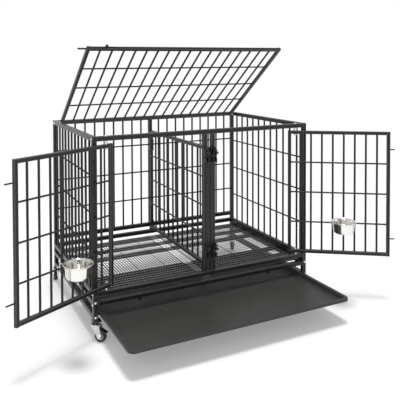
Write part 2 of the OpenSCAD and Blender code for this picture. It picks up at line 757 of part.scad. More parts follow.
// Square plates under the legs, set inward, with the raceway under the leg
module caster_plates() {
    shift = (plate_side - tube) / 2;
    color(powder) for (s = [-1, 1], t = [-1, 1]) difference() {
        union() {
            translate([s * (mid_x - shift) - plate_side / 2, t * (mid_y - shift) - plate_side / 2,
                leg_foot - plate_t]) cube([plate_side, plate_side, plate_t]);
            translate([s * mid_x, t * mid_y, leg_foot - plate_t - race_h])
                cylinder(h = race_h + 1, r = race_r);
        }
        translate([s * mid_x, t * mid_y, 0]) cylinder(h = leg_foot + 1, r = kingpin_r + hole_fit);
    }
}
module caster_kingpins() {
    color(zinc) for (s = [-1, 1], t = [-1, 1]) translate([s * mid_x, t * mid_y, 0]) {
        wire_z(crown_lo - seat_gap - 3, leg_foot - hole_fit, kingpin_d);
        translate([0, 0, crown_lo - seat_gap - 3]) cylinder(h = 3, r = kingpin_r + 3);
    }
}
// Crown on the kingpin, two cheeks down to the axle and the brake's pin on a braked caster
module fork(braked) {
    color(zinc) difference() {
        union() {
            translate([0, 0, crown_lo]) cylinder(h = crown_h, r = crown_r);
            for (x = [-cheek_out, cheek_in]) translate([x, 0, 0]) rotate([90, 0, 90]) linear_extrude(cheek_t)
                polygon([[10, crown_top - 1], [-trail + 1, crown_top - 1], [-trail - 10, wheel_r + 4],
                    [-trail - 8, wheel_r - 7], [-trail, wheel_r - 10], [-trail + 8, wheel_r - 7],
                    [2, crown_lo - 8], [10, crown_lo + 2]]);
            if (braked) translate([0, brake_y, brake_z]) wire_x(-cheek_out, cheek_out, 2 * brake_pin_r);
        }
        cylinder(h = far, r = kingpin_r + run_fit);
        translate([0, -trail, wheel_r]) wire_x(-crown_r, crown_r, 2 * (axle_r + hole_fit));
    }
}
module axle() {
    color(zinc) translate([0, -trail, wheel_r]) {
        wire_x(-cheek_out - 6, cheek_out, axle_d);
        translate([-cheek_out - 5, 0, 0]) rotate([0, 90, 0]) cylinder(h = 5, r = axle_r + 3, $fn = 6);
        translate([cheek_out, 0, 0]) rotate([0, 90, 0]) dome_bolt(axle_r, axle_r + 3, 3, 1);
    }
}
module hub() {
    color(pan_grey) translate([0, -trail, wheel_r]) difference() {
        union() {
            wire_x(-wheel_w / 2 + 2, wheel_w / 2 - 2, 2 * hub_r);
            wire_x(-wheel_w / 2 - 1, wheel_w / 2 + 1, 2 * axle_r + 6);
        }
        wire_x(-wheel_w, wheel_w, 2 * (axle_r + run_fit));
    }
}
// Ring round the hub whose tread is a shallow arc
module tyre() {
    w = wheel_w / 2;
    color(rubber) translate([0, -trail, wheel_r]) rotate([0, 90, 0]) rotate_extrude()
        polygon(concat([[hub_r + hole_fit, -w + 2], [wheel_r - 4, -w]],
            [for (a = [-60:20:60]) [wheel_r - 2 * (1 - cos(a)), w * sin(a) / sin(60) * 0.9]],
            [[wheel_r - 4, w], [hub_r + hole_fit, w - 2]]));
}
// Lever on the fork's cross pin, pressed onto the tyre as drawn
module brake() {
    w = cheek_in - 0.5;
    color(powder) translate([0, brake_y, brake_z]) rotate([brake_turn, 0, 0]) difference() {
        union() {
            wire_x(-w, w, 2 * brake_pin_r + 4);
            translate([-w, 0, -brake_t / 2]) cube([2 * w, brake_l, brake_t]);
            translate([-w, brake_l - brake_t, -brake_t / 2 - 2]) cube([2 * w, brake_t, brake_t + 2]);
        }
        wire_x(-wheel_w, wheel_w, 2 * (brake_pin_r + run_fit));
    }
}
module front_left_fork() { at_front_left() fork(true); }
module front_right_fork() { at_front_right() fork(true); }
module rear_left_fork() { at_rear_left() fork(false); }
module rear_right_fork() { at_rear_right() fork(false); }
module front_left_axle() { at_front_left() axle(); }
module front_right_axle() { at_front_right() axle(); }
module rear_left_axle() { at_rear_left() axle(); }
module rear_right_axle() { at_rear_right() axle(); }
module front_left_hub() { at_front_left() hub(); }
module front_right_hub() { at_front_right() hub(); }
module rear_left_hub() { at_rear_left() hub(); }
module rear_right_hub() { at_rear_right() hub(); }
module front_left_tyre() { at_front_left() tyre(); }
module front_right_tyre() { at_front_right() tyre(); }
module rear_left_tyre() { at_rear_left() tyre(); }
module rear_right_tyre() { at_rear_right() tyre(); }
module front_left_brake() { at_front_left() brake(); }
module front_right_brake() { at_front_right() brake(); }

left_side_panel();
right_side_panel();
rear_panel();
front_top_rail();
front_sill_rail();
centre_posts();
legs();
base_front_rail();
base_rear_rail();
rear_sill_rail();
base_side_rails();
lower_side_rails();
tray_runners();
cross_bars();
left_floor_grid();
right_floor_grid();
divider_guides();
frame_bolts();
door_pivot_bolts();
lid_pivot_bolts();
pivot_spacers();
latch_housings();
caster_plates();
caster_kingpins();
left_door_frame();
left_strike_pins();
left_bowl_hanger();
left_bowl();
right_door_frame();
right_strike_pins();
right_bowl_hanger();
right_bowl();
lid_frame();
lid_bolt();
tray();
left_tray_clip();
right_tray_clip();
divider();
upper_left_pawl();
lower_left_pawl();
upper_right_pawl();
lower_right_pawl();
front_left_fork();
front_right_fork();
rear_left_fork();
rear_right_fork();
front_left_axle();
front_right_axle();
rear_left_axle();
rear_right_axle();
front_left_hub();
front_right_hub();
rear_left_hub();
rear_right_hub();
front_left_tyre();
front_right_tyre();
rear_left_tyre();
rear_right_tyre();
front_left_brake();
front_right_brake();
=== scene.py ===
"""Looks for a wheeled two-compartment dog crate of square tube and welded wire.

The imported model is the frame. This script gives its nodes their finishes, makes the bowls and the
tray as smooth sheets, lays weld beads where the tubes and wires meet, closes the floor's grids to
a mesh with fine cross wires, and sets a pale studio with the camera at the photograph's place.
"""

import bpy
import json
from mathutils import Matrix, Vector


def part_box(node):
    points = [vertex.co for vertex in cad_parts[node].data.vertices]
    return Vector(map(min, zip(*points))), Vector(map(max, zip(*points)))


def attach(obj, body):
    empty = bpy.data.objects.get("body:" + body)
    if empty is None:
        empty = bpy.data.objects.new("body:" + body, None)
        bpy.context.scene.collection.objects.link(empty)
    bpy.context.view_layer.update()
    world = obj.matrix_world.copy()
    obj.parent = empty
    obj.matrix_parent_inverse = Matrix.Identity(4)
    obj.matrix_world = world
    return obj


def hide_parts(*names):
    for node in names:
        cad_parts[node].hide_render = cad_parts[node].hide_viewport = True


bl_info = {
    "name": "Wire Dog Crate",
    "version": (1, 0, 0),
    "blender": (4, 5, 0),
    "location": "View3D > Sidebar > Crate",
    "description": "Finishes, bowls, tray, welds, floor mesh and studio for a wheeled wire dog crate",
    "category": "Object",
}

import json
import math

import bpy
import numpy as np
from bpy.props import FloatProperty, FloatVectorProperty, IntProperty, PointerProperty
from mathutils import Matrix

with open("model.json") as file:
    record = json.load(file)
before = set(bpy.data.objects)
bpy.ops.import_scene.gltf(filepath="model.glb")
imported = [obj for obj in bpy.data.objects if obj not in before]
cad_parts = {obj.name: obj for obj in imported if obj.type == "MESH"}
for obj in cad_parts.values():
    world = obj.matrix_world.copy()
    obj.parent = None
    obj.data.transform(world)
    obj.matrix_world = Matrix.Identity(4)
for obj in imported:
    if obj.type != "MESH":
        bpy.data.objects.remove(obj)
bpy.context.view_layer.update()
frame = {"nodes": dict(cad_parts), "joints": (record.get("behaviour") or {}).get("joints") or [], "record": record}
JOINTS = {j["name"]: j for j in frame["joints"]}
SLOT_OF = {p["node"]: p["material_slot"] for p in frame["record"]["subparts"]}
SIDES = ("left", "right")
FINISHES = {}
OWN_FINISH = {
    "left_bowl_hanger": "bright_wire",
    "right_bowl_hanger": "bright_wire",
    "lid_bolt": "latch_black",
}
# Colours of dust, and those that plate and bright wire drift to
DUST_ON_STEEL = (0.16, 0.155, 0.148)
DUST_ON_PLASTIC = (0.19, 0.185, 0.175)
ZINC_TINT = (0.76, 0.76, 0.745)
WIRE_TINT = (0.74, 0.74, 0.73)
# The part of a noise's range that most of its values lie in
SHADE_SPAN = (0.3, 0.7)
# Depth in metres of the skin of a coat, of plate or spun sheet, and of a moulding
COAT_SKIN, METAL_SKIN, MOULDED_SKIN = 0.0002, 0.0001, 0.0003
# Factors between which the shade of a coat and of a moulding drifts
COAT_DRIFT, MOULDED_DRIFT = (0.86, 1.16), (0.88, 1.14)
# What the drift adds to the roughness of a coat, of metal and of a moulding, at its ends
COAT_GLOSS, METAL_GLOSS, MOULDED_GLOSS = (-0.05, 0.07), (-0.04, 0.06), (-0.05, 0.08)
# Share of the dust's amount that it adds to the roughness, and how far a moulding's edges lighten, as wear and a
# painted highlight
DUST_DULLS, MOULDED_WEAR_AND_GLINT = 0.3, 0.5


class CrateSizes(bpy.types.PropertyGroup):
    """Sizes of the pieces that are made here, in metres."""

    bowl_sheet: FloatProperty(name="Bowl sheet", description="Thickness of a bowl's sheet",
                              default=0.0012, unit="LENGTH")
    bowl_lip: FloatProperty(name="Bowl lip", description="Width of the bowl's lip",
                            default=0.007, unit="LENGTH")
    bowl_roll: FloatProperty(name="Bowl roll", description="Radius of the lip's rolled edge",
                             default=0.0013, unit="LENGTH")
    bowl_turn: FloatProperty(name="Bowl turn", description="Radius between a bowl's side and its lip",
                             default=0.001, unit="LENGTH")
    bowl_round: FloatProperty(name="Bowl corner", description="Radius between a bowl's foot and side",
                              default=0.011, unit="LENGTH")
    bowl_foot: FloatProperty(name="Bowl foot", description="Share of the top's radius that the foot has",
                             default=0.92)
    bowl_dish: FloatProperty(name="Bowl dish", description="Height of the step pressed into the foot",
                             default=0.0012, unit="LENGTH")
    turns: IntProperty(name="Turns", description="Points round a bowl", default=96)
    tray_sheet: FloatProperty(name="Tray sheet", description="Thickness of the tray's sheet",
                              default=0.003, unit="LENGTH")
    tray_flange: FloatProperty(name="Tray flange", description="Width of the tray's flange",
                               default=0.014, unit="LENGTH")
    tray_lip: FloatProperty(name="Tray lip", description="Height of the tray's lip",
                            default=0.012, unit="LENGTH")
    tray_corner: FloatProperty(name="Tray corner", description="Corner radius of the tray",
                               default=0.028, unit="LENGTH")
    tray_draft: FloatProperty(name="Tray draft", description="How far the pan's side leans out",
                              default=0.005, unit="LENGTH")
    bead: FloatProperty(name="Weld bead", description="Radius of a weld bead at a tube joint",
                        default=0.0016, unit="LENGTH")
    collar: FloatProperty(name="Weld collar", description="Width of the weld round a wire's end",
                          default=0.0013, unit="LENGTH")
    upright: FloatProperty(name="Upright wire", description="Diameter of the upright wires",
                           default=0.0095, unit="LENGTH")
    cross: FloatProperty(name="Cross wire", description="Diameter of the cross wires",
                         default=0.0075, unit="LENGTH")
    upright_set: FloatProperty(name="Upright set", description="Share of its diameter by which an upright "
                               "stands before the panel's middle", default=0.28)
    cross_set: FloatProperty(name="Cross set", description="Share of its diameter by which a cross wire "
                             "stands behind the panel's middle", default=0.55)
    light_tube: FloatProperty(name="Light tube", description="Side of the tube of doors, lid and divider",
                              default=0.016, unit="LENGTH")
    door_tail: FloatProperty(name="Door tail", description="From a door's pivot to its near end",
                             default=0.035, unit="LENGTH")
    door_reach: FloatProperty(name="Door reach", description="From a door's pivot to its far end",
                              default=0.445, unit="LENGTH")
    lid_reach: FloatProperty(name="Lid reach", description="From the lid's pivot to its free edge",
                             default=0.626, unit="LENGTH")
    divider_foot: FloatProperty(name="Divider foot", description="Height of the pins under the divider",
                                default=0.014, unit="LENGTH")
    mesh_wire: FloatProperty(name="Mesh wire", description="Diameter of the fine cross wires of the floor",
                             default=0.0026, unit="LENGTH")
    mesh_pitch: FloatProperty(name="Mesh pitch", description="Pitch of the fine cross wires of the floor",
                              default=0.0254, unit="LENGTH")
    mesh_rise: FloatProperty(name="Mesh rise", description="Height of those wires over a grid's underside",
                             default=0.0035, unit="LENGTH")
    gap_wires: IntProperty(name="Gap wires", description="Long wires between the floor grids", default=2)
    cross_wires: IntProperty(name="Cross wires", description="Cross wires in each panel", default=3)
    side_wires: IntProperty(name="Side wires", description="Upright wires in a side panel", default=11)
    rear_wires: IntProperty(name="Rear wires", description="Upright wires in half of the rear", default=9)
    door_wires: IntProperty(name="Door wires", description="Upright wires in a door", default=8)
    lid_wires: IntProperty(name="Lid wires", description="Wires from the lid's back to front", default=17)
    divider_wires: IntProperty(name="Divider wires", description="Upright wires in the divider", default=11)


class CrateFinish(bpy.types.PropertyGroup):
    """Colours and gloss of the finishes."""

    powder: FloatVectorProperty(name="Powder coat", description="Colour of the charcoal powder coat",
                                subtype="COLOR", default=(0.0145, 0.0148, 0.0145), min=0, max=1)
    # The edge colour is worn coat and a painted highlight: edges lightened where they would catch the light.
    powder_wear_and_glint: FloatVectorProperty(name="Powder edge", description="Colour of the coat where edges catch",
                                     subtype="COLOR", default=(0.24, 0.241, 0.238), min=0, max=1)
    powder_rough: FloatProperty(name="Powder roughness", description="Roughness of the powder coat",
                                default=0.28, min=0, max=1)
    # The fine cross wires' light grey is a painted highlight: dark coated wire made light as if lit from above.
    mesh: FloatVectorProperty(name="Floor mesh", description="Colour of the floor's fine cross wires",
                              subtype="COLOR", default=(0.54, 0.54, 0.53), min=0, max=1)
    zinc: FloatVectorProperty(name="Zinc", description="Colour of the zinc plate",
                              subtype="COLOR", default=(0.76, 0.765, 0.77), min=0, max=1)
    stainless: FloatVectorProperty(name="Stainless", description="Colour of the polished bowls",
                                   subtype="COLOR", default=(0.9, 0.885, 0.855), min=0, max=1)
    tray: FloatVectorProperty(name="Tray", description="Colour of the tray's plastic",
                              subtype="COLOR", default=(0.036, 0.0385, 0.035), min=0, max=1)
    latch: FloatVectorProperty(name="Latch", description="Colour of the latches",
                               subtype="COLOR", default=(0.012, 0.012, 0.012), min=0, max=1)
    hub: FloatVectorProperty(name="Hub", description="Colour of the wheel hubs",
                             subtype="COLOR", default=(0.25, 0.25, 0.25), min=0, max=1)
    rubber: FloatVectorProperty(name="Tyre", description="Colour of the tyres",
                                subtype="COLOR", default=(0.014, 0.014, 0.014), min=0, max=1)


class CrateStage(bpy.types.PropertyGroup):
    """Camera and light, the image taken to be 400 by 400."""

    eye: FloatVectorProperty(name="Eye", description="Place of the camera", subtype="XYZ",
                             default=(-1.1935, -2.5658, 1.1548))
    yaw: FloatProperty(name="Yaw", description="Turn of the view to the right of the crate's depth",
                       default=math.radians(26.071), subtype="ANGLE")
    pitch: FloatProperty(name="Pitch", description="How far the view looks down",
                         default=math.radians(1.508), subtype="ANGLE")
    roll: FloatProperty(name="Roll", description="Turn about the view's own axis",
                        default=math.radians(-0.182), subtype="ANGLE")
    focal: FloatProperty(name="Focal length", description="Focal length in pixels of the image",
                         default=562.22)
    centre_x: FloatProperty(name="Centre x", description="Pixel column of the view's axis", default=186.75)
    centre_y: FloatProperty(name="Centre y", description="Pixel row of the view's axis", default=74.43)
    floor: FloatVectorProperty(name="Floor", description="Colour of the floor", subtype="COLOR",
                               default=(0.88, 0.88, 0.88), min=0, max=1)
    lift: FloatProperty(name="Floor lift", description="Light that the white floor adds to itself",
                        default=0.24)
    sky: FloatProperty(name="Sky", description="Strength of the even light from all round", default=0.36)
    sun: FloatProperty(name="Overhead", description="Strength of the light from above", default=1.75)
    sun_lean: FloatProperty(name="Overhead lean", description="How far that light leans in from the front",
                            default=math.radians(3), subtype="ANGLE")
    sun_angle: FloatProperty(name="Overhead angle", description="How wide the light from above looks",
                             default=math.radians(14), subtype="ANGLE")
    fill: FloatProperty(name="Front lamp", description="Power of the soft lamp at the front", default=22.0)


# Pixels across the image, and the camera's sensor in millimetres
IMAGE = 400.0
SENSOR = 36.0
# Place, aim and side of the front lamp in metres
LAMP_PLACE, LAMP_AIM, LAMP_SIDE = (-2.2, -3.0, 2.0), (0.0, 0.0, 0.5), 2.2
# Radii of the floor's rings, points on each, the radii between which plain white takes over, roughness
FLOOR_RINGS, FLOOR_TURNS = (0.0, 0.6, 1.2, 2.4, 4.8, 9.0, 16.0), 64
FLOOR_FADE, FLOOR_ROUGH = (1.1, 2.4), 0.85
# Share of the sky's white that reflections see
MIRRORED = 0.8


def mesh_piece(name, verts, faces, body, slot, finish=None):
    """Makes a mesh object at the origin from an array of points and an array of faces, lets it ride
    on a body and takes its finish from a slot, unless another finish is named."""
    mesh = bpy.data.meshes.new(name)
    mesh.from_pydata(np.asarray(verts, float).reshape(-1, 3).tolist(), [], np.asarray(faces).tolist())
    mesh.polygons.foreach_set("use_smooth", np.full(len(mesh.polygons), True))
    mesh.validate()
    mesh.update()
    piece = bpy.data.objects.new(name, mesh)
    bpy.context.scene.collection.objects.link(piece)
    mesh.materials.append(FINISHES[finish or slot])
    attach(piece, body)
    return piece


def grid_faces(rows, cols, wrap_rows=False, wrap_cols=False, start=0):
    """Quads of a grid of points numbered row by row; a wrapped way joins its last line to its first."""
    r = np.arange(rows if wrap_rows else rows - 1)
    c = np.arange(cols if wrap_cols else cols - 1)
    i, j = np.meshgrid(r, c, indexing="ij")
    a = i * cols + j
    b = i * cols + (j + 1) % cols
    d = (i + 1) % rows * cols + j
    e = (i + 1) % rows * cols + (j + 1) % cols
    return np.stack([a, b, e, d], -1).reshape(-1, 4) + start


def arc(cx, cz, radius, a0, a1, steps):
    """Points of a circle's arc from angle a0 to a1 in degrees, as (across, up) pairs."""
    a = np.radians(np.linspace(a0, a1, steps))
    return np.stack([cx + radius * np.cos(a), cz + radius * np.sin(a)], -1)


def shader_group(name, inputs, outputs):
    """Starts a shader node group with named sockets and returns it with its input and output nodes."""
    group = bpy.data.node_groups.new(name, "ShaderNodeTree")
    for label, kind, value in inputs:
        socket = group.interface.new_socket(label, in_out="INPUT", socket_type=kind)
        socket.default_value = value
    for label, kind in outputs:
        group.interface.new_socket(label, in_out="OUTPUT", socket_type=kind)
    return group, group.nodes.new("NodeGroupInput"), group.nodes.new("NodeGroupOutput")


def math_node(tree, operation, a, b=None, clamp=False):
    """Adds a Math node; a and b are sockets or plain numbers."""
    node = tree.nodes.new("ShaderNodeMath")
    node.operation = operation
    node.use_clamp = clamp
    for socket, value in zip(node.inputs, (a, b)):
        if value is None:
            continue
        if isinstance(value, (int, float)):
            socket.default_value = value
        else:
            tree.links.new(value, socket)
    return node.outputs[0]


def remap(tree, value, lo, hi, to_lo, to_hi):
    """Adds a Map Range node that carries lo..hi to to_lo..to_hi and holds the ends."""
    node = tree.nodes.new("ShaderNodeMapRange")
    tree.links.new(value, node.inputs["Value"])
    for label, number in (("From Min", lo), ("From Max", hi), ("To Min", to_lo), ("To Max", to_hi)):
        node.inputs[label].default_value = number
    return node.outputs["Result"]


def noise(tree, vector, scale, detail, rough=0.5):
    """Adds a Noise Texture and returns its value socket; scale is a socket or a number."""
    node = tree.nodes.new("ShaderNodeTexNoise")
    tree.links.new(vector, node.inputs["Vector"])
    if isinstance(scale, (int, float)):
        node.inputs["Scale"].default_value = scale
    else:
        tree.links.new(scale, node.inputs["Scale"])
    node.inputs["Detail"].default_value = detail
    node.inputs["Roughness"].default_value = rough
    return node.outputs["Fac"]


def edge_group(level=0.995, turned=0.82, least=0.8):
    """Edge softening: a bevelled normal of the given radius, and a mask that is 1 where that normal
    leaves the face's own, broken up by noise so that the edge's wear and painted highlight aren't even.
    The mask starts where the cosine between both normals is level and is full where it is turned; the
    noise takes it down to least."""
    group, inp, out = shader_group(
        "crate_edges", (("Radius", "NodeSocketFloat", 0.001), ("Breakup", "NodeSocketFloat", 90.0)),
        (("Normal", "NodeSocketVector"), ("Edge", "NodeSocketFloat")))
    bevel = group.nodes.new("ShaderNodeBevel")
    bevel.samples = 6
    group.links.new(inp.outputs["Radius"], bevel.inputs["Radius"])
    geometry = group.nodes.new("ShaderNodeNewGeometry")
    dot = group.nodes.new("ShaderNodeVectorMath")
    dot.operation = "DOT_PRODUCT"
    group.links.new(bevel.outputs["Normal"], dot.inputs[0])
    group.links.new(geometry.outputs["True Normal"], dot.inputs[1])
    coords = group.nodes.new("ShaderNodeTexCoord")
    patch = noise(group, coords.outputs["Object"], inp.outputs["Breakup"], 3.0)
    lift = remap(group, dot.outputs["Value"], level, turned, 0.0, 1.0)
    edge = math_node(group, "MULTIPLY", lift, remap(group, patch, *SHADE_SPAN, least, 1.0), True)
    group.links.new(bevel.outputs["Normal"], out.inputs["Normal"])
    group.links.new(edge, out.inputs["Edge"])


def grain_group(coarser=0.37, share=0.6):
    """Fine skin of a coat or a moulding: a height from a noise of the given scale and a share of a
    coarser one, and a slow cloud for changes of shade and gloss."""
    group, inp, out = shader_group(
        "crate_grain", (("Scale", "NodeSocketFloat", 900.0), ("Cloud", "NodeSocketFloat", 7.0)),
        (("Height", "NodeSocketFloat"), ("Shade", "NodeSocketFloat")))
    coords = group.nodes.new("ShaderNodeTexCoord")
    vector = coords.outputs["Object"]
    fine = noise(group, vector, inp.outputs["Scale"], 2.0)
    coarse = noise(group, vector, math_node(group, "MULTIPLY", inp.outputs["Scale"], coarser), 1.0)
    height = math_node(group, "ADD", fine, math_node(group, "MULTIPLY", coarse, share))
    cloud = noise(group, vector, inp.outputs["Cloud"], 4.0, 0.6)
    group.links.new(height, out.inputs["Height"])
    group.links.new(cloud, out.inputs["Shade"])


def dust_group(steep=0.25, scale=26.0, span=(0.42, 0.72)):
    """Dust that settles on faces that look up: the upward part of the normal, from steep faces to
    level ones, times the given span of a patchy noise."""
    group, inp, out = shader_group(
        "crate_dust", (("Amount", "NodeSocketFloat", 0.3),), (("Dust", "NodeSocketFloat"),))
    geometry = group.nodes.new("ShaderNodeNewGeometry")
    split = group.nodes.new("ShaderNodeSeparateXYZ")
    group.links.new(geometry.outputs["Normal"], split.inputs[0])
    up = remap(group, split.outputs["Z"], steep, 1.0, 0.0, 1.0)
    coords = group.nodes.new("ShaderNodeTexCoord")
    patch = remap(group, noise(group, coords.outputs["Object"], scale, 5.0, 0.65), *span, 0.0, 1.0)
    dust = math_node(group, "MULTIPLY", math_node(group, "MULTIPLY", up, patch), inp.outputs["Amount"])
    group.links.new(dust, out.inputs["Dust"])


def placed(tree, name, **values):
    """Places a shared group in a material with its own values."""
    node = tree.nodes.new("ShaderNodeGroup")
    node.node_tree = bpy.data.node_groups[name]
    for label, value in values.items():
        node.inputs[label].default_value = value
    return node


def mix_colour(tree, factor, a, b):
    """Adds a colour mix; a and b are sockets or colours of three numbers."""
    node = tree.nodes.new("ShaderNodeMix")
    node.data_type = "RGBA"
    tree.links.new(factor, node.inputs["Factor"])
    for socket, value in ((node.inputs[6], a), (node.inputs[7], b)):
        if isinstance(value, bpy.types.NodeSocket):
            tree.links.new(value, socket)
        else:
            socket.default_value = (*value, 1.0)
    return node.outputs[2]


def new_material(name):
    """A material whose tree holds only the Principled shader and its output, kept under its name; the
    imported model's own plain materials have the slots' bare names."""
    material = FINISHES[name] = bpy.data.materials.new(name + "_finish")
    material.use_nodes = True
    tree = material.node_tree
    return tree, tree.nodes["Principled BSDF"]


def finish_bump(tree, shader, height, strength, distance, normal=None):
    """Feeds the shader's Normal from a bump of the given height over an optional softened normal."""
    bump = tree.nodes.new("ShaderNodeBump")
    bump.inputs["Strength"].default_value = strength
    bump.inputs["Distance"].default_value = distance
    tree.links.new(height, bump.inputs["Height"])
    if normal is not None:
        tree.links.new(normal, bump.inputs["Normal"])
    tree.links.new(bump.outputs["Normal"], shader.inputs["Normal"])


def scaled(colour, factor):
    """A colour times a factor."""
    return tuple(c * factor for c in colour)


def coated(name, colour, edge_wear_and_glint, rough, edge_radius, grain, bump, wear, dust, specular=0.5):
    """Powder coat or paint over steel: orange-peel bump, shade that drifts slowly, edges lightened as a
    thin coat and a painted highlight, and a little dust on top."""
    tree, shader = new_material(name)
    edges = placed(tree, "crate_edges", Radius=edge_radius)
    skin = placed(tree, "crate_grain", Scale=grain, Cloud=6.0)
    settled = placed(tree, "crate_dust", Amount=dust)
    base = mix_colour(tree, skin.outputs["Shade"], *(scaled(colour, k) for k in COAT_DRIFT))
    # Painted highlight and wear: the edge mask lightens the coat toward the edge colour.
    edge_lightened = mix_colour(tree, math_node(tree, "MULTIPLY", edges.outputs["Edge"], wear), base, edge_wear_and_glint)
    dusty = mix_colour(tree, settled.outputs["Dust"], edge_lightened, DUST_ON_STEEL)
    tree.links.new(dusty, shader.inputs["Base Color"])
    gloss = remap(tree, skin.outputs["Shade"], *SHADE_SPAN, *(rough + k for k in COAT_GLOSS))
    dull = math_node(tree, "MULTIPLY", settled.outputs["Dust"], DUST_DULLS)
    tree.links.new(math_node(tree, "ADD", gloss, dull, True), shader.inputs["Roughness"])
    shader.inputs["Specular IOR Level"].default_value = specular
    finish_bump(tree, shader, skin.outputs["Height"], bump, COAT_SKIN, edges.outputs["Normal"])


def metal(name, colour, rough, grain, bump, edge_radius, tint):
    """Plated steel or bright wire: cloudy shade, rubbed edges and a fine grain."""
    tree, shader = new_material(name)
    edges = placed(tree, "crate_edges", Radius=edge_radius)
    skin = placed(tree, "crate_grain", Scale=grain, Cloud=22.0)
    base = mix_colour(tree, skin.outputs["Shade"], scaled(colour, 0.9), tint)
    edge_lightened = mix_colour(tree, edges.outputs["Edge"], base, scaled(colour, 1.12))
    tree.links.new(edge_lightened, shader.inputs["Base Color"])
    shader.inputs["Metallic"].default_value = 1.0
    gloss = remap(tree, skin.outputs["Shade"], *SHADE_SPAN, *(rough + k for k in METAL_GLOSS))
    tree.links.new(gloss, shader.inputs["Roughness"])
    finish_bump(tree, shader, skin.outputs["Height"], bump, METAL_SKIN, edges.outputs["Normal"])


def polished(name, colour, scale=2600.0, span=(0.25, 0.75), gloss_span=(0.07, 0.15), bump=0.06):
    """Spun stainless sheet: polished metal whose fine rings follow the way along the sheet's profile,
    kept in the attribute spin, so that the rings run round the bowl. The given span of their noise
    goes over the span of the gloss."""
    tree, shader = new_material(name)
    spin = tree.nodes.new("ShaderNodeAttribute")
    spin.attribute_name = "spin"
    rings = tree.nodes.new("ShaderNodeTexNoise")
    rings.noise_dimensions = "1D"
    rings.inputs["Scale"].default_value = scale
    rings.inputs["Detail"].default_value = 3.0
    tree.links.new(spin.outputs["Fac"], rings.inputs["W"])
    skin = placed(tree, "crate_grain", Scale=500.0, Cloud=30.0)
    base = mix_colour(tree, skin.outputs["Shade"], scaled(colour, 0.93), colour)
    tree.links.new(base, shader.inputs["Base Color"])
    shader.inputs["Metallic"].default_value = 1.0
    gloss = remap(tree, rings.outputs["Fac"], *span, *gloss_span)
    tree.links.new(gloss, shader.inputs["Roughness"])
    finish_bump(tree, shader, rings.outputs["Fac"], bump, METAL_SKIN)


def moulded(name, colour, rough, grain, bump, dust, edge_radius=0.0008, specular=0.5):
    """Moulded plastic or rubber: pebbled skin, slow shade, edges lightened as wear and a painted highlight, and
    dust in the pan.
    """
    tree, shader = new_material(name)
    edges = placed(tree, "crate_edges", Radius=edge_radius)
    skin = placed(tree, "crate_grain", Scale=grain, Cloud=5.0)
    settled = placed(tree, "crate_dust", Amount=dust)
    base = mix_colour(tree, skin.outputs["Shade"], *(scaled(colour, k) for k in MOULDED_DRIFT))
    # Painted highlight and wear: the edges go to over twice the colour, a light line along the rim.
    edge_wear_and_glint = math_node(tree, "MULTIPLY", edges.outputs["Edge"], MOULDED_WEAR_AND_GLINT)
    edge_lightened = mix_colour(tree, edge_wear_and_glint, base, scaled(colour, 2.2))
    dusty = mix_colour(tree, settled.outputs["Dust"], edge_lightened, DUST_ON_PLASTIC)
    tree.links.new(dusty, shader.inputs["Base Color"])
    shader.inputs["Specular IOR Level"].default_value = specular
    gloss = remap(tree, skin.outputs["Shade"], *SHADE_SPAN, *(rough + k for k in MOULDED_GLOSS))
    tree.links.new(gloss, shader.inputs["Roughness"])
    finish_bump(tree, shader, skin.outputs["Height"], bump, MOULDED_SKIN, edges.outputs["Normal"])


class CRATE_OT_finishes(bpy.types.Operator):
    """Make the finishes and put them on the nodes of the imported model"""

    bl_idname = "crate.finishes"
    bl_label = "Finishes"

    def execute(self, context):
        f = context.scene.crate_finish
        edge_group()
        grain_group()
        dust_group()
        FINISHES.clear()
        coated("powder_coat", f.powder, f.powder_wear_and_glint, f.powder_rough, edge_radius=0.004, grain=1100.0,
               bump=0.22, wear=0.8, dust=0.1, specular=0.3)
        coated("latch_black", f.latch, scaled(f.powder_wear_and_glint, 0.4), 0.36, edge_radius=0.0008,
               grain=1500.0, bump=0.12, wear=0.6, dust=0.1)
        # Painted highlight: the fine floor wires are light grey where dark wire would catch the overhead light,
        # their edges lighter still.
        coated("floor_wire", f.mesh, scaled(f.mesh, 1.5), 0.3, edge_radius=0.0005, grain=1500.0,
               bump=0.1, wear=0.5, dust=0.1)
        metal("zinc", f.zinc, 0.12, grain=1400.0, bump=0.08, edge_radius=0.0005, tint=ZINC_TINT)
        metal("bright_wire", f.stainless, 0.2, grain=900.0, bump=0.05, edge_radius=0.0003, tint=WIRE_TINT)
        polished("stainless", f.stainless)
        moulded("tray_plastic", f.tray, 0.42, grain=1700.0, bump=0.2, dust=0.05, specular=0.3)
        moulded("hub_plastic", f.hub, 0.45, grain=1500.0, bump=0.15, dust=0.1)
        moulded("tyre_rubber", f.rubber, 0.62, grain=900.0, bump=0.35, dust=0.25)
        for name, node in frame["nodes"].items():
            finish = OWN_FINISH.get(name, SLOT_OF[name])
            node.data.materials.clear()
            node.data.materials.append(FINISHES[finish])
        return {"FINISHED"}


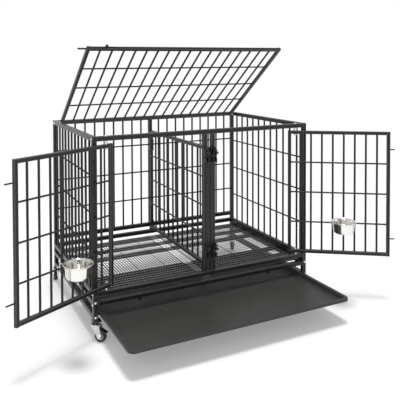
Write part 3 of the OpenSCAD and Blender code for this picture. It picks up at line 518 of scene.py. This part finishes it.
class CRATE_OT_bowls(bpy.types.Operator):
    """Spin the two bowls as smooth sheets with a rolled lip"""

    bl_idname = "crate.bowls"
    bl_label = "Bowls"

    def execute(self, context):
        for side in SIDES:
            self.bowl(side, context.scene.crate_sizes)
        return {"FINISHED"}

    def bowl(self, side, s):
        """The sheet is a profile turned about the bowl's upright axis: out along the underside of the
        foot, round the corner, up the leaning side, out under the lip, round its rolled edge, and back
        down inside at the sheet's thickness."""
        node = side + "_bowl"
        lo, hi = (np.array(c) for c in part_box(node))
        centre = (lo + hi) / 2
        t, k, turn = s.bowl_sheet, s.bowl_round, s.bowl_turn
        rim, lip = (hi[0] - lo[0]) / 2, hi[2] - lo[2] - t
        top = rim - s.bowl_lip
        foot = top * s.bowl_foot
        lean = math.degrees(math.atan2(top - foot, lip - k))
        dish = np.array([[0.0, 1.0], [0.6, 1.0], [0.66, 0.85], [0.72, 0.15], [0.78, 0.0]])
        dish = dish * (foot, s.bowl_dish)
        profile = np.concatenate([
            dish, arc(foot - k, k, k, -90, -lean, 9),
            arc(top + turn, lip - turn, turn, 180 - lean, 90, 6),
            arc(rim - s.bowl_roll, lip + s.bowl_roll, s.bowl_roll, -90, 150, 14),
            arc(top + turn, lip - turn, turn + t, 90, 180 - lean, 8),
            arc(foot - k, k, k - t, -lean, -90, 9), dish[::-1] + (0.0, t)])
        a = np.linspace(0, 2 * math.pi, s.turns, endpoint=False)
        r, z = profile[:, 0, None], profile[:, 1, None]
        points = np.stack([centre[0] + r * np.cos(a), centre[1] + r * np.sin(a), lo[2] + z + 0 * a], -1)
        faces = grid_faces(len(profile), s.turns, wrap_cols=True)
        piece = mesh_piece(side + "_bowl_sheet", points, faces, node, "stainless")
        spin = piece.data.attributes.new("spin", "FLOAT", "POINT")
        along = np.concatenate([[0.0], np.cumsum(np.hypot(*np.diff(profile, axis=0).T))])
        spin.data.foreach_set("value", np.repeat(along, s.turns).astype(np.float32))
        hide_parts(node)


class CRATE_OT_tray(bpy.types.Operator):
    """Mould the tray: pan, flange and a lip turned down, all with round edges"""

    bl_idname = "crate.tray"
    bl_label = "Tray"

    def execute(self, context):
        """The section is two lines of (inset, height) pairs, over and under the sheet; each pair is a
        ring, and rings drawn in to a point close the pan's floor and its underside."""
        s = context.scene.crate_sizes
        lo, hi = (np.array(c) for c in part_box("tray"))
        centre = (lo + hi) / 2
        half = (hi - lo)[:2] / 2
        top, floor, t = hi[2], lo[2], s.tray_sheet
        lip_lo, f, d = top - s.tray_lip, s.tray_flange, s.tray_draft
        edge, bend, brow, crease, chamfer = 0.0008, 0.0024, 0.003, 0.001, 0.0006
        foot, foot_in, under_foot, under_in = 0.006, 0.004, 0.0055, 0.0045
        sag, under_sag = 0.0012, 0.0004
        upper = np.concatenate([
            [[2 * edge, lip_lo]], arc(edge, lip_lo + edge, edge, 270, 180, 4),
            arc(bend, top - bend, bend, 180, 90, 7),
            arc(f + t - brow, top - brow, brow, 90, 20, 6),
            arc(f + t + d + foot_in, floor + t + foot, foot, 195, 270, 7)])
        under = np.concatenate([
            arc(f + d + under_in, floor + under_foot, under_foot, 270, 195, 7),
            arc(f - crease, top - t - crease, crease, 20, 90, 3),
            arc(t + crease, top - t - crease, crease, 90, 180, 3),
            [[t, lip_lo + chamfer], [t - chamfer, lip_lo]]])
        shrink = np.array([0.8, 0.55, 0.3, 0.1, 0.0])
        rings = [self.ring(half, inset, z, s.tray_corner) for inset, z in upper]
        rings += [self.drawn(rings[-1], k, -sag * (1 - k)) for k in shrink]
        base = self.ring(half, under[0][0], under[0][1], s.tray_corner)
        rings += [self.drawn(base, k, -under_sag * (1 - k)) for k in shrink[::-1]]
        rings += [self.ring(half, inset, z, s.tray_corner) for inset, z in under]
        points = np.stack(rings) + np.array([centre[0], centre[1], 0.0])
        faces = grid_faces(len(rings), points.shape[1], wrap_rows=True, wrap_cols=True)
        piece = mesh_piece("tray_moulding", points, faces, "tray", "tray_plastic")
        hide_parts("tray")
        return {"FINISHED"}

    def ring(self, half, inset, z, corner, least=0.004, steps=10, side=12):
        """Outline of the tray drawn in by inset at height z: four round corners, none sharper than
        least, joined by straight sides, in order, each side cut in equal lengths."""
        r = max(corner - inset, least)
        a, b = half[0] - inset - r, half[1] - inset - r
        turn = np.radians(np.linspace(0, 90, steps))
        parts = []
        for k, (sx, sy) in enumerate(((1, 1), (-1, 1), (-1, -1), (1, -1))):
            ang = turn + math.radians(90 * k)
            parts.append(np.stack([sx * a + r * np.cos(ang), sy * b + r * np.sin(ang)], -1))
        filled = []
        for k in range(4):
            filled.append(parts[k])
            start, end = parts[k][-1], parts[(k + 1) % 4][0]
            w = np.linspace(0, 1, side + 2)[1:-1, None]
            filled.append(start * (1 - w) + end * w)
        flat = np.concatenate(filled)
        return np.column_stack([flat, np.full(len(flat), z)])

    def drawn(self, ring, share, sink):
        """A ring drawn toward the middle to the given share of its size and lowered by sink."""
        return ring * np.array([share, share, 1.0]) + np.array([0.0, 0.0, sink])


class WirePanel:
    """A tube and wire panel: its origin, its three axes, its outline and its wires."""

    def __init__(self, body, origin, ex, ey, ez, x, z, size, uprights, stiles=True):
        self.body, self.stiles, self.size, self.uprights = body, stiles, size, uprights
        self.origin, self.ex, self.ey, self.ez = (np.array(v, float) for v in (origin, ex, ey, ez))
        self.x, self.z = x, z

    def place(self, local):
        """Carries points (along, through, up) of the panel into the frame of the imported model."""
        local = np.asarray(local, float)
        return self.origin + local[..., :1] * self.ex + local[..., 1:2] * self.ey + local[..., 2:] * self.ez


def spread(a, b, n):
    """n places that divide a to b evenly, both ends left out."""
    return np.linspace(a, b, n + 2)[1:-1]


def panels(k):
    """The crate's panels, placed by their nodes' boxes and their hinges: both sides, both halves of
    the rear, both doors, the lid and the divider."""
    lo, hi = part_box("left_side_panel")
    half_w, half_d, tube = -lo[0], hi[1], hi[0] - lo[0]
    mid_x, mid_y, light = half_w - tube / 2, half_d - tube / 2, k.light_tube
    found = []
    for s in (-1, 1):
        found.append(WirePanel(
            "crate", (s * mid_x, 0, 0), (0, s, 0), (-s, 0, 0), (0, 0, 1),
            (-half_d, half_d), (lo[2], hi[2]), tube, k.side_wires))
    rlo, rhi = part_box("rear_panel")
    for s in (-1, 1):
        found.append(WirePanel(
            "crate", (0, mid_y, 0), (s, 0, 0), (0, -1, 0), (0, 0, 1),
            (-tube / 2, rhi[0] + tube), (rlo[2], rhi[2]), tube, k.rear_wires, stiles=False))
    for side, s in zip(SIDES, (-1, 1)):
        hinge = JOINTS[side + "_door_hinge"]
        a = math.radians(hinge["range_deg"][1])
        dlo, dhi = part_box(side + "_door_frame")
        px, py, _ = hinge["pos_m"]
        found.append(WirePanel(
            side + "_door", (px, py, 0), (-s * math.cos(a), -math.sin(a), 0),
            (-s * math.sin(a), math.cos(a), 0), (0, 0, 1),
            (-k.door_tail, k.door_reach), (dlo[2], dhi[2]), light, k.door_wires))
    hinge = JOINTS["lid_hinge"]
    a = math.radians(-hinge["range_deg"][0])
    llo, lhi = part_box("lid_frame")
    found.append(WirePanel(
        "lid", hinge["pos_m"], (1, 0, 0), (0, math.sin(a), math.cos(a)), (0, -math.cos(a), math.sin(a)),
        (llo[0], lhi[0]), (-light / 2, k.lid_reach), light, k.lid_wires))
    vlo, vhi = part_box("divider")
    found.append(WirePanel(
        "divider", (0, 0, 0), (0, 1, 0), (-1, 0, 0), (0, 0, 1),
        (vlo[1], vhi[1]), (vlo[2] + k.divider_foot, vhi[2]), light, k.divider_wires))
    return found


class CRATE_OT_welds(bpy.types.Operator):
    """Lay weld beads over the tube joints and collars round the ends of the wires"""

    bl_idname = "crate.welds"
    bl_label = "Welds"

    def execute(self, context):
        s = context.scene.crate_sizes
        by_body = {}
        for panel in panels(s):
            made = [self.collars(panel, s)]
            if panel.stiles:
                made.append(self.beads(panel, s))
            by_body.setdefault(panel.body, []).extend(made)
        for body, parts in by_body.items():
            points = np.concatenate([p.reshape(-1, 3) for p, _ in parts])
            start = np.cumsum([0] + [p.size // 3 for p, _ in parts[:-1]])
            faces = np.concatenate([f + n for (_, f), n in zip(parts, start)])
            mesh_piece(body + "_welds", points, faces, body, "powder_coat")
        return {"FINISHED"}

    def beads(self, panel, s, length=15, around=8, ripples=7, depth=0.14, flat=0.55, short=0.004):
        """Each bead is a flattened round bar along a joint line on a tube's face, a little shorter than
        the face is wide, whose radius swells and sinks in ripples and closes to a point at both ends."""
        x0, x1 = panel.x
        z0, z1 = panel.z
        k, h = panel.size, panel.size / 2
        t = np.linspace(0, 1, length)
        closed = np.sqrt(np.clip(1 - (2 * t - 1) ** 6, 0, 1))
        radius = s.bead * closed * (1 - depth + depth * np.cos(t * 2 * math.pi * ripples))
        a = np.linspace(0, 2 * math.pi, around, endpoint=False)
        ring = np.stack([np.cos(a)[None] * radius[:, None], flat * np.sin(a)[None] * radius[:, None],
                         np.repeat(((t - 0.5) * (k - short))[:, None], around, 1)], -1)
        corners = [(x, y, z) for x in (x0 + k, x1 - k) for y in (-h, h) for z in (z0 + h, z1 - h)]
        local = np.array(corners)[:, None, None, :] + ring[None]
        faces = np.concatenate([grid_faces(length, around, wrap_cols=True, start=i * length * around)
                                for i in range(len(corners))])
        return panel.place(local), self.facing(faces, panel)

    def collars(self, panel, s, around=12, within=0.98):
        """Each collar is a short hollow cone round a wire where it enters its tube: wide and flat on
        the tube, and run out along the wire in a curve. The wires divide the way between the tubes'
        middles evenly, and a collar stops just within the tube's own faces."""
        h = panel.size / 2
        x0, x1 = panel.x[0] + h, panel.x[1] - h
        z0, z1 = panel.z[0] + h, panel.z[1] - h
        xs, zs = spread(x0, x1, panel.uprights), spread(z0, z1, s.cross_wires)
        width = np.array([1.0, 0.45, 0.15, 0.015]) * s.collar
        run = np.array([0.0, 0.3, 1.0, 2.2]) * s.collar
        a = np.linspace(0, 2 * math.pi, around, endpoint=False)
        out = (s.upright / 2 + width)[:, None]
        cone = np.stack([out * np.cos(a), out * np.sin(a), run[:, None] + 0 * a], -1)
        out = (s.cross / 2 + width)[:, None]
        side = np.stack([run[:, None] + 0 * a, out * np.cos(a), out * np.sin(a)], -1)
        before, behind = -s.upright_set * s.upright, s.cross_set * s.cross
        sets = [(cone, [(x, before, z0 + h) for x in xs]),
                (cone * (1.0, -1.0, -1.0), [(x, before, z1 - h) for x in xs]),
                (side, [(x0 + h, behind, z) for z in zs])]
        if panel.stiles:
            sets.append((side * (-1.0, 1.0, -1.0), [(x1 - h, behind, z) for z in zs]))
        local = np.concatenate([np.array(places)[:, None, None] + shape for shape, places in sets])
        local[..., 1] = np.clip(local[..., 1], -within * h, within * h)
        size = len(width) * around
        faces = np.concatenate([grid_faces(len(width), around, wrap_cols=True, start=i * size)
                                for i in range(len(local))])
        return panel.place(local), self.facing(faces, panel)

    def facing(self, faces, panel):
        """Turns the faces round where the panel's axes are left-handed, so that they look outward."""
        left = np.dot(np.cross(panel.ex, panel.ey), panel.ez) < 0
        return faces[:, ::-1] if left else faces


class CRATE_OT_mesh(bpy.types.Operator):
    """Lay the floor's fine cross wires, which close its grids to a mesh"""

    bl_idname = "crate.mesh"
    bl_label = "Floor mesh"

    def execute(self, context):
        self.wires(context.scene.crate_sizes)
        return {"FINISHED"}

    def wires(self, s, around=6, stack=1.8):
        """Each wire is a straight rod. The cross wires run from the left edge of the left grid to the
        right edge of the right one, at an even pitch from the front to the back. A few long wires lie
        on them from front to back, stack radii higher and so welded a little way in, and carry the
        mesh over the gap between the grids."""
        (lo, left_hi), (right_lo, hi) = (np.array(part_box(side + "_floor_grid")) for side in SIDES)
        count = int((hi[1] - lo[1]) / s.mesh_pitch)
        ys = (lo[1] + hi[1]) / 2 + (np.arange(count) - (count - 1) / 2) * s.mesh_pitch
        xs = spread(left_hi[0], right_lo[0], s.gap_wires)
        a = np.linspace(0, 2 * math.pi, around, endpoint=False)
        r, z = s.mesh_wire / 2, lo[2] + s.mesh_rise
        across = np.stack([0 * a, r * np.cos(a), z + r * np.sin(a)], -1)
        along = np.stack([-r * np.cos(a), 0 * a, z + stack * r + r * np.sin(a)], -1)
        rods = [self.rods(across, [(lo[0], y, 0.0) for y in ys], (hi[0] - lo[0], 0.0, 0.0)),
                self.rods(along, [(x, lo[1], 0.0) for x in xs], (0.0, hi[1] - lo[1], 0.0))]
        points = np.concatenate(rods)
        sides = np.concatenate([grid_faces(2, around, wrap_cols=True, start=i * 2 * around)
                                for i in range(len(points))])
        mesh_piece("floor_mesh", points, sides, "crate", "powder_coat", "floor_wire")

    def rods(self, ring, starts, run):
        """A rod from each start along run: the ring at its start and the same ring at its end."""
        ends = np.stack([np.zeros(3), np.array(run)])
        return np.array(starts)[:, None, None] + ends[None, :, None] + ring[None, None]


class CRATE_OT_stage(bpy.types.Operator):
    """Set the pale floor, the even light, two soft lamps and the camera"""

    bl_idname = "crate.stage"
    bl_label = "Stage"

    def execute(self, context):
        s = context.scene.crate_stage
        self.floor(s)
        self.sky(context.scene, s)
        self.overhead(s)
        self.front(s)
        self.camera(context.scene, s)
        context.scene.view_settings.view_transform = "Standard"
        return {"FINISHED"}

    def floor(self, s):
        """A flat round sheet on z = 0, rings of points on circles: it takes shadows near the crate, and
        further out it gives way to plain white."""
        rings = np.array(FLOOR_RINGS)[:, None]
        a = np.linspace(0, 2 * math.pi, FLOOR_TURNS, endpoint=False)
        points = np.stack([rings * np.cos(a), rings * np.sin(a), 0 * rings * a], -1)
        faces = grid_faces(len(FLOOR_RINGS), FLOOR_TURNS, wrap_cols=True)
        mesh = bpy.data.meshes.new("floor")
        mesh.from_pydata(points.reshape(-1, 3).tolist(), [], faces.tolist())
        mesh.validate()
        mesh.update()
        floor = bpy.data.objects.new("floor", mesh)
        bpy.context.scene.collection.objects.link(floor)
        tree, shader = new_material("floor")
        shader.inputs["Base Color"].default_value = (*s.floor, 1.0)
        shader.inputs["Roughness"].default_value = FLOOR_ROUGH
        coords = tree.nodes.new("ShaderNodeTexCoord")
        span = tree.nodes.new("ShaderNodeVectorMath")
        span.operation = "LENGTH"
        tree.links.new(coords.outputs["Object"], span.inputs[0])
        glow = tree.nodes.new("ShaderNodeEmission")
        blend = tree.nodes.new("ShaderNodeMixShader")
        tree.links.new(remap(tree, span.outputs["Value"], *FLOOR_FADE, 0.0, 1.0), blend.inputs["Fac"])
        shader.inputs["Emission Color"].default_value = (1.0, 1.0, 1.0, 1.0)
        shader.inputs["Emission Strength"].default_value = s.lift
        tree.links.new(shader.outputs["BSDF"], blend.inputs[1])
        tree.links.new(glow.outputs["Emission"], blend.inputs[2])
        tree.links.new(blend.outputs["Shader"], tree.nodes["Material Output"].inputs["Surface"])
        mesh.materials.append(FINISHES["floor"])

    def sky(self, scene, s):
        """White to the camera, near white in reflections, and an even grey light for everything else."""
        world = bpy.data.worlds.new("studio")
        world.use_nodes = True
        tree = world.node_tree
        background = tree.nodes["Background"]
        background.inputs["Color"].default_value = (1.0, 1.0, 1.0, 1.0)
        path = tree.nodes.new("ShaderNodeLightPath")
        bounced = math_node(tree, "MAXIMUM", path.outputs["Is Glossy Ray"],
                            path.outputs["Is Transmission Ray"])
        mirrored = math_node(tree, "MULTIPLY", bounced, MIRRORED)
        seen = math_node(tree, "MAXIMUM", path.outputs["Is Camera Ray"], mirrored)
        tree.links.new(math_node(tree, "MAXIMUM", seen, s.sky), background.inputs["Strength"])
        scene.world = world

    def overhead(self, s):
        """A wide sun that looks down and a little to the back, so that each piece's shadow lies under
        and behind it."""
        light = bpy.data.lights.new("overhead", "SUN")
        light.energy, light.angle = s.sun, s.sun_angle
        lamp = bpy.data.objects.new("overhead", light)
        bpy.context.scene.collection.objects.link(lamp)
        lamp.rotation_euler = (s.sun_lean, 0.0, 0.0)

    def front(self, s):
        """A square soft lamp at its place, turned to its aim."""
        light = bpy.data.lights.new("front", "AREA")
        light.size, light.energy = LAMP_SIDE, s.fill
        lamp = bpy.data.objects.new("front", light)
        bpy.context.scene.collection.objects.link(lamp)
        lamp.location = LAMP_PLACE
        away = np.array(LAMP_PLACE) - np.array(LAMP_AIM)
        lean = math.acos(away[2] / np.linalg.norm(away))
        lamp.rotation_euler = (lean, 0.0, math.atan2(away[1], away[0]) + math.pi / 2)

    def camera(self, scene, s):
        """A pinhole fitted to the photograph: the view's axes from yaw, pitch and roll, the lens from
        the focal length, and the shift from the pixel of the view's axis."""
        y, p, r = s.yaw, s.pitch, s.roll
        ahead = np.array([math.sin(y) * math.cos(p), math.cos(y) * math.cos(p), -math.sin(p)])
        right = np.array([math.cos(y), -math.sin(y), 0.0])
        up = np.cross(right, ahead)
        right, up = right * math.cos(r) + up * math.sin(r), up * math.cos(r) - right * math.sin(r)
        data = bpy.data.cameras.new("photo_view")
        data.sensor_width = SENSOR
        data.lens = s.focal / IMAGE * SENSOR
        data.shift_x = (IMAGE / 2 - s.centre_x) / IMAGE
        data.shift_y = (s.centre_y - IMAGE / 2) / IMAGE
        camera = bpy.data.objects.new("photo_view", data)
        scene.collection.objects.link(camera)
        rows = [(*row, 0.0) for row in np.stack([right, up, -ahead], 1)]
        camera.matrix_world = Matrix(rows + [(0, 0, 0, 1)])
        camera.location = s.eye
        scene.camera = camera


class CRATE_PT_panel(bpy.types.Panel):
    """Lists the crate's operators and settings"""

    bl_label = "Wire Dog Crate"
    bl_idname = "CRATE_PT_panel"
    bl_space_type = "VIEW_3D"
    bl_region_type = "UI"
    bl_category = "Crate"

    def draw(self, context):
        for operator in OPERATORS:
            self.layout.operator(operator.bl_idname)
        for group in (context.scene.crate_sizes, context.scene.crate_finish, context.scene.crate_stage):
            box = self.layout.box()
            for name in group.__annotations__:
                box.prop(group, name)


OPERATORS = (CRATE_OT_finishes, CRATE_OT_bowls, CRATE_OT_tray, CRATE_OT_welds, CRATE_OT_mesh,
             CRATE_OT_stage)
CLASSES = (CrateSizes, CrateFinish, CrateStage, *OPERATORS, CRATE_PT_panel)


def register():
    for cls in CLASSES:
        bpy.utils.register_class(cls)
    bpy.types.Scene.crate_sizes = PointerProperty(type=CrateSizes)
    bpy.types.Scene.crate_finish = PointerProperty(type=CrateFinish)
    bpy.types.Scene.crate_stage = PointerProperty(type=CrateStage)


def unregister():
    del bpy.types.Scene.crate_stage
    del bpy.types.Scene.crate_finish
    del bpy.types.Scene.crate_sizes
    for cls in reversed(CLASSES):
        bpy.utils.unregister_class(cls)


def main():
    register()
    bpy.ops.crate.finishes()
    bpy.ops.crate.bowls()
    bpy.ops.crate.tray()
    bpy.ops.crate.welds()
    bpy.ops.crate.mesh()
    bpy.ops.crate.stage()


if __name__ == "__main__":
    main()
